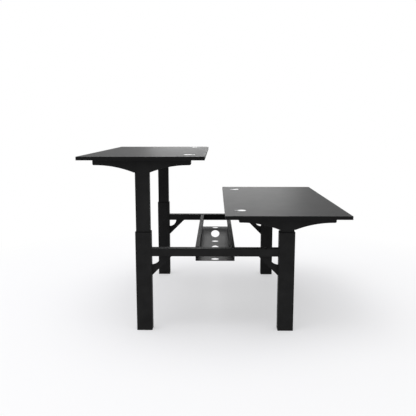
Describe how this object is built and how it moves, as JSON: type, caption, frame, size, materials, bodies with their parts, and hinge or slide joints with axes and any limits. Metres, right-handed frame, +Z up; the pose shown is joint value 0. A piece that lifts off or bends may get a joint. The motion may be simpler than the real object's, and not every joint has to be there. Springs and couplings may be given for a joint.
{
  "type": "height adjustable standing desk",
  "caption": "Back-to-back electric standing desk: two worktops on telescopic columns that rise separately over a shared frame, with a cable tray between them.",
  "frame": {"origin": "on the floor, in the middle of the frame", "axes": "+X from the left desk to the right desk, +Y along the worktops to the rear end, +Z up"},
  "size_m": [1.512, 1.4, 1.0178],
  "materials": {
    "black_laminate": "black melamine laminate, satin, with a matching edge band",
    "powder_coated_steel": "fine-textured black powder coat on steel tube and folded sheet",
    "black_plastic": "moulded black plastic, lightly textured",
    "light_plastic": "moulded light grey plastic, satin gloss",
    "cast_aluminium": "die-cast, bead blasted",
    "bright_steel": "rolled and turned, lightly oiled",
    "key_rubber": "moulded silicone rubber, matt"
  },
  "bodies": {
    "frame": {"left_front_outer_tube": "powder_coated_steel", "left_front_foot": "black_plastic", "left_front_collar": "black_plastic", "left_front_nut_tube": "bright_steel", "left_front_gusset": "powder_coated_steel", "left_rear_outer_tube": "powder_coated_steel", "left_rear_foot": "black_plastic", "left_rear_collar": "black_plastic", "left_rear_nut_tube": "bright_steel", "left_rear_gusset": "powder_coated_steel", "left_tray_rail": "powder_coated_steel", "right_front_outer_tube": "powder_coated_steel", "right_front_foot": "black_plastic", "right_front_collar": "black_plastic", "right_front_nut_tube": "bright_steel", "right_front_gusset": "powder_coated_steel", "right_rear_outer_tube": "powder_coated_steel", "right_rear_foot": "black_plastic", "right_rear_collar": "black_plastic", "right_rear_nut_tube": "bright_steel", "right_rear_gusset": "powder_coated_steel", "right_tray_rail": "powder_coated_steel", "front_crossbeam": "powder_coated_steel", "rear_crossbeam": "powder_coated_steel", "cable_tray": "powder_coated_steel"},
    "left_desk": {"left_worktop": "black_laminate", "left_front_inner_tube": "powder_coated_steel", "left_front_bracket": "powder_coated_steel", "left_front_motor": "cast_aluminium", "left_front_grommet": "light_plastic", "left_rear_inner_tube": "powder_coated_steel", "left_rear_bracket": "powder_coated_steel", "left_rear_motor": "cast_aluminium", "left_rear_grommet": "light_plastic", "left_inner_stretcher": "powder_coated_steel", "left_outer_stretcher": "powder_coated_steel", "left_control_box": "black_plastic", "left_handset": "black_plastic"},
    "right_desk": {"right_worktop": "black_laminate", "right_front_inner_tube": "powder_coated_steel", "right_front_bracket": "powder_coated_steel", "right_front_motor": "cast_aluminium", "right_front_grommet": "light_plastic", "right_rear_inner_tube": "powder_coated_steel", "right_rear_bracket": "powder_coated_steel", "right_rear_motor": "cast_aluminium", "right_rear_grommet": "light_plastic", "right_inner_stretcher": "powder_coated_steel", "right_outer_stretcher": "powder_coated_steel", "right_control_box": "black_plastic", "right_handset": "black_plastic"},
    "left_front_spindle": {"left_front_spindle": "bright_steel"},
    "left_rear_spindle": {"left_rear_spindle": "bright_steel"},
    "right_front_spindle": {"right_front_spindle": "bright_steel"},
    "right_rear_spindle": {"right_rear_spindle": "bright_steel"},
    "left_up_button": {"left_up_button": "key_rubber"},
    "left_down_button": {"left_down_button": "key_rubber"},
    "right_up_button": {"right_up_button": "key_rubber"},
    "right_down_button": {"right_down_button": "key_rubber"}
  },
  "joints": [
    {"name": "left_lift", "type": "slide", "parent": "frame", "child": "left_desk", "axis": [0, 0, 1], "range_m": [-0.324, 0.126]},
    {"name": "right_lift", "type": "slide", "parent": "frame", "child": "right_desk", "axis": [0, 0, 1], "range_m": [0, 0.45]},
    {"name": "left_front_spindle_turn", "type": "hinge", "parent": "left_desk", "child": "left_front_spindle", "pos_m": [-0.41, -0.587, 0.933], "axis": [0, 0, 1], "range_deg": [-5850, 2280]},
    {"name": "left_rear_spindle_turn", "type": "hinge", "parent": "left_desk", "child": "left_rear_spindle", "pos_m": [-0.41, 0.587, 0.933], "axis": [0, 0, 1], "range_deg": [-5850, 2280]},
    {"name": "right_front_spindle_turn", "type": "hinge", "parent": "right_desk", "child": "right_front_spindle", "pos_m": [0.41, -0.587, 0.609], "axis": [0, 0, 1], "range_deg": [-10, 8110]},
    {"name": "right_rear_spindle_turn", "type": "hinge", "parent": "right_desk", "child": "right_rear_spindle", "pos_m": [0.41, 0.587, 0.609], "axis": [0, 0, 1], "range_deg": [-10, 8110]},
    {"name": "left_up_button_press", "type": "slide", "parent": "left_desk", "child": "left_up_button", "axis": [1, 0, 0], "range_m": [0, 0.0012], "stiffness_N_per_m": 250, "springref_m": -0.001},
    {"name": "left_down_button_press", "type": "slide", "parent": "left_desk", "child": "left_down_button", "axis": [1, 0, 0], "range_m": [0, 0.0012], "stiffness_N_per_m": 250, "springref_m": -0.001},
    {"name": "right_up_button_press", "type": "slide", "parent": "right_desk", "child": "right_up_button", "axis": [-1, 0, 0], "range_m": [0, 0.0012], "stiffness_N_per_m": 250, "springref_m": -0.001},
    {"name": "right_down_button_press", "type": "slide", "parent": "right_desk", "child": "right_down_button", "axis": [-1, 0, 0], "range_m": [0, 0.0012], "stiffness_N_per_m": 250, "springref_m": -0.001}
  ],
  "couplings": [
    {"joint": "left_front_spindle_turn", "follows": "left_lift", "rad_per_m": 314.16},
    {"joint": "left_rear_spindle_turn", "follows": "left_lift", "rad_per_m": 314.16},
    {"joint": "right_front_spindle_turn", "follows": "right_lift", "rad_per_m": 314.16},
    {"joint": "right_rear_spindle_turn", "follows": "right_lift", "rad_per_m": 314.16}
  ]
}
